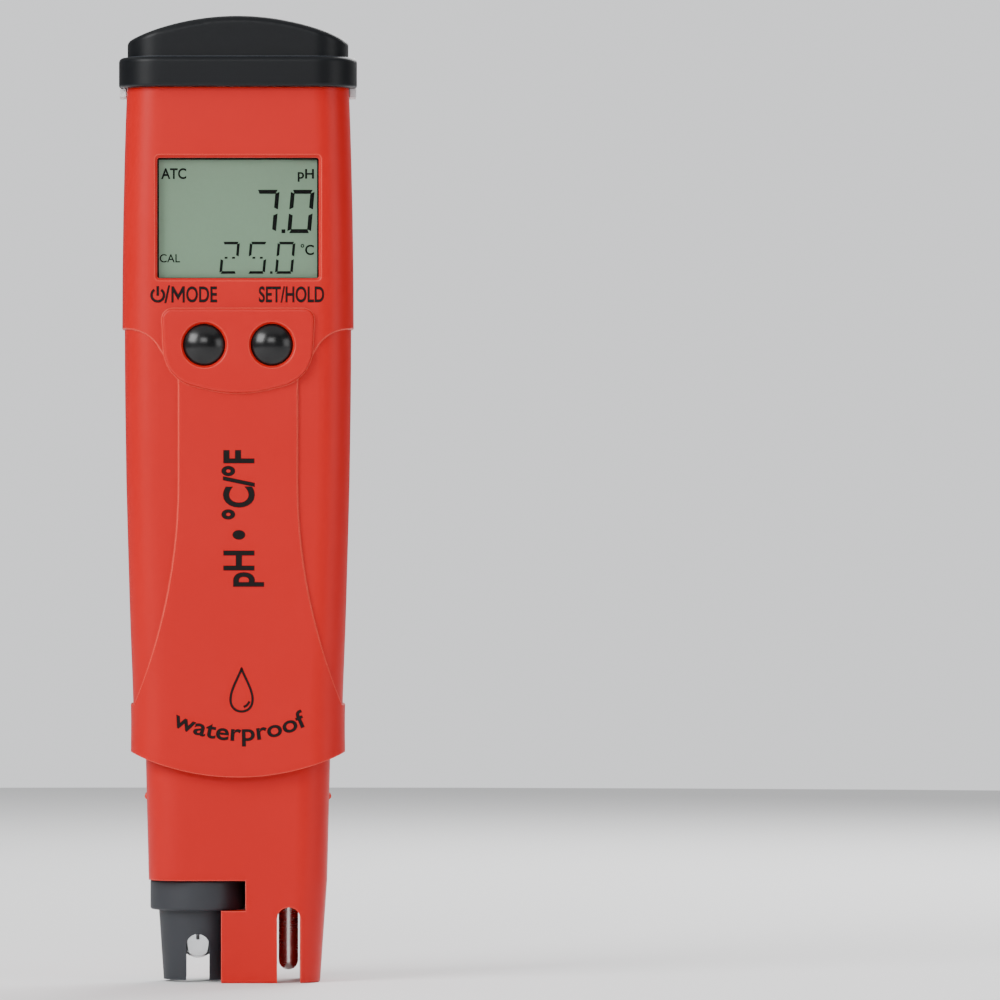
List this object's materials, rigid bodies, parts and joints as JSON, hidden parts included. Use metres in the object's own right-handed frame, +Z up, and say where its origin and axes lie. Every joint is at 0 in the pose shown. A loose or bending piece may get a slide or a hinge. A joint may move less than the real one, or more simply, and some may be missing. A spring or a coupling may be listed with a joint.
{
  "type": "pocket ph meter",
  "caption": "Upright pocket pH tester with a display, two keys, a screwed battery cap, a replaceable glass electrode and a temperature probe.",
  "frame": {"origin": "bottom centre of the whole meter, on the surface its tip stands on", "axes": "+Z up to the battery cap, -Y towards the front with the display and keys, +X to the front's right"},
  "size_m": [0.0402, 0.026, 0.163],
  "materials": {
    "red_plastic": "satin moulded",
    "black_plastic": "satin moulded",
    "key_plastic": "gloss",
    "clear_silicone": "translucent",
    "grey_rubber": "matte",
    "black_rubber": "matte",
    "steel_screw": "plated",
    "plated_strip": "nickel plated",
    "clear_window": "polished",
    "lcd_glass": "satin",
    "white_plastic": "moulded",
    "board_laminate": "varnished",
    "chip_plastic": "moulded",
    "cell_steel": "nickel plated",
    "electrode_plastic": "satin moulded",
    "probe_glass": "blown",
    "silver_wire": "drawn",
    "wick_cloth": "woven",
    "gold_contact": "plated",
    "stainless_steel": "polished",
    "ribbon_film": "film"
  },
  "bodies": {
    "root": {"body_shell": "red_plastic", "probe_housing": "red_plastic", "housing_oring": "black_rubber", "display_window": "clear_window", "lcd_panel": "lcd_glass", "lcd_holder": "white_plastic", "zebra_strips": "grey_rubber", "main_board": "board_laminate", "controller_chip": "chip_plastic", "board_components": "chip_plastic", "mode_switch": "chip_plastic", "hold_switch": "chip_plastic", "keypad_seal": "grey_rubber", "battery_carrier": "white_plastic", "battery_springs": "plated_strip", "battery_cell_left_lower": "cell_steel", "battery_cell_left_upper": "cell_steel", "battery_cell_right_lower": "cell_steel", "battery_cell_right_upper": "cell_steel", "electrode_socket": "black_plastic", "socket_pins": "gold_contact", "temperature_probe": "stainless_steel", "temperature_grommet": "black_rubber", "thermistor": "chip_plastic", "thermistor_leads": "silver_wire", "probe_ribbon": "ribbon_film"},
    "battery_cap": {"battery_cap": "black_plastic", "cap_gasket": "clear_silicone", "cap_contact_plate": "plated_strip"},
    "cap_screws": {"cap_screws": "steel_screw"},
    "mode_button": {"mode_button": "key_plastic"},
    "hold_button": {"hold_button": "key_plastic"},
    "electrode_seals": {"electrode_orings": "black_rubber"},
    "electrode": {"electrode_body": "electrode_plastic", "electrode_plug": "electrode_plastic", "electrode_glass": "probe_glass", "electrode_inner_wire": "silver_wire", "reference_wire": "silver_wire", "electrode_junction": "wick_cloth", "electrode_contacts": "gold_contact"}
  },
  "joints": [
    {"name": "cap_lift", "type": "slide", "parent": "root", "child": "battery_cap", "axis": [0, 0, 1], "range_m": [0, 0.014]},
    {"name": "screw_lift", "type": "slide", "parent": "battery_cap", "child": "cap_screws", "axis": [0, 0, 1], "range_m": [0, 0.012]},
    {"name": "mode_press", "type": "slide", "parent": "root", "child": "mode_button", "axis": [0, 1, 0], "range_m": [0, 0.0005], "stiffness_N_per_m": 4000},
    {"name": "hold_press", "type": "slide", "parent": "root", "child": "hold_button", "axis": [0, 1, 0], "range_m": [0, 0.0005], "stiffness_N_per_m": 4000},
    {"name": "electrode_pull", "type": "slide", "parent": "root", "child": "electrode_seals", "axis": [0, 0, -1], "range_m": [0, 0.03]},
    {"name": "electrode_twist", "type": "hinge", "parent": "electrode_seals", "child": "electrode", "pos_m": [-0.0068, 0, 0.02], "axis": [0, 0, 1], "range_deg": [0, 90]}
  ]
}
